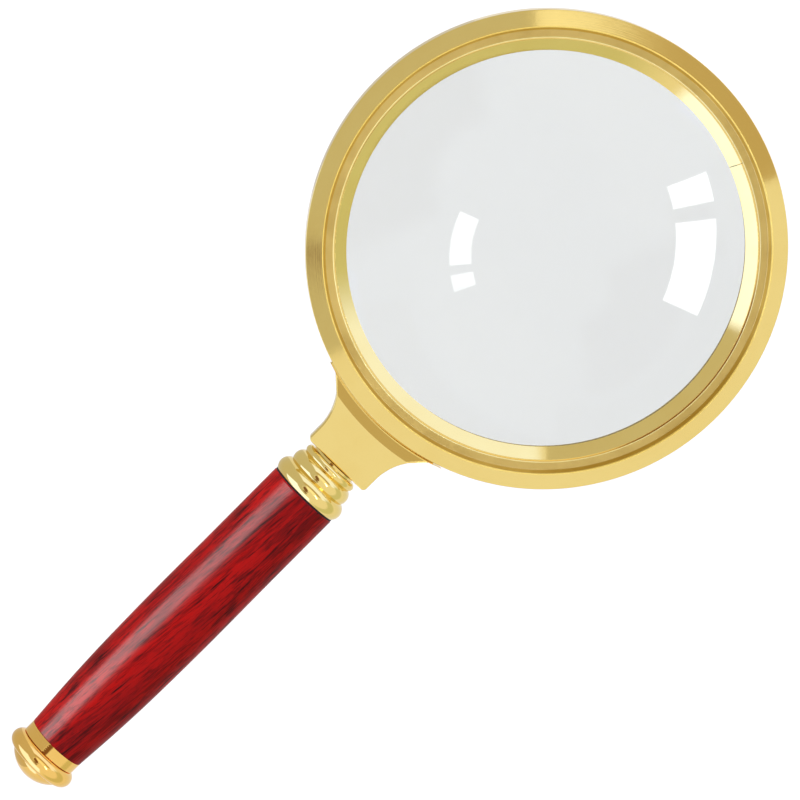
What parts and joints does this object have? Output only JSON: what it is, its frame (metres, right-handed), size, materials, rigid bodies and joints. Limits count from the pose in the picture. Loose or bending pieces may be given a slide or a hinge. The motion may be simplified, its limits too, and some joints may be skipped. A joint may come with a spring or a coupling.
{
  "type": "magnifying glass",
  "caption": "Hand magnifying glass: a biconvex lens in a gold plated ring with a yoke, on a turned red wood grip with beaded gold collar, ferrule and domed pommel.",
  "frame": {"origin": "under the middle of the overall length, on the surface that the rear rim and the widest handle bead lie on", "axes": "+X along the handle from the pommel to the lens, +Z along the lens axis out of the front bezel, +Y across the ring"},
  "size_m": [0.2148, 0.105, 0.0178],
  "materials": {
    "gold": "polished gold plate on cast and turned metal",
    "gold_inner": "polished gold plate on spring metal",
    "gold_turned": "mirror polished gold plate, turned",
    "brass_insert": "machined, unplated",
    "steel": "zinc plated screw thread",
    "gasket": "matt black",
    "lens_glass": "polished optical glass",
    "rosewood": "red stained and gloss lacquered, dark grain along the grip"
  },
  "bodies": {
    "frame": {"lens_frame": "gold", "lens": "lens_glass", "lens_gasket": "gasket", "neck_stud": "steel"},
    "retainer": {"retaining_ring": "gold_inner"},
    "bezel": {"front_bezel": "gold"},
    "neck_slider": {"neck_washer": "gold"},
    "handle": {"collar": "gold_turned", "collar_gasket": "gasket", "handle_insert": "brass_insert", "grip": "rosewood", "tie_rod": "steel", "ferrule": "gold_turned"},
    "end_slider": {"end_washer": "gold"},
    "pommel_body": {"pommel": "gold_turned", "pommel_nut": "brass_insert"}
  },
  "joints": [
    {"name": "retainer_lift", "type": "slide", "parent": "frame", "child": "retainer", "axis": [0, 0, 1], "range_m": [0, 0.0032]},
    {"name": "bezel_turn", "type": "hinge", "parent": "retainer", "child": "bezel", "pos_m": [0.0549, 0, 0.0095], "axis": [0, 0, 1], "range_deg": [0, 1440]},
    {"name": "neck_travel", "type": "slide", "parent": "frame", "child": "neck_slider", "axis": [-1, 0, 0], "range_m": [0, 0.0048]},
    {"name": "handle_turn", "type": "hinge", "parent": "neck_slider", "child": "handle", "pos_m": [-0.011, 0, 0.00893], "axis": [-1, 0, 0], "range_deg": [0, 2160]},
    {"name": "end_travel", "type": "slide", "parent": "handle", "child": "end_slider", "axis": [-1, 0, 0], "range_m": [0, 0.0042]},
    {"name": "pommel_turn", "type": "hinge", "parent": "end_slider", "child": "pommel_body", "pos_m": [-0.1003, 0, 0.00893], "axis": [-1, 0, 0], "range_deg": [0, 2160]}
  ],
  "couplings": [
    {"joint": "retainer_lift", "follows": "bezel_turn", "m_per_rad": 0.00012732},
    {"joint": "handle_turn", "follows": "neck_travel", "rad_per_m": 7854},
    {"joint": "pommel_turn", "follows": "end_travel", "rad_per_m": 8975.9}
  ]
}
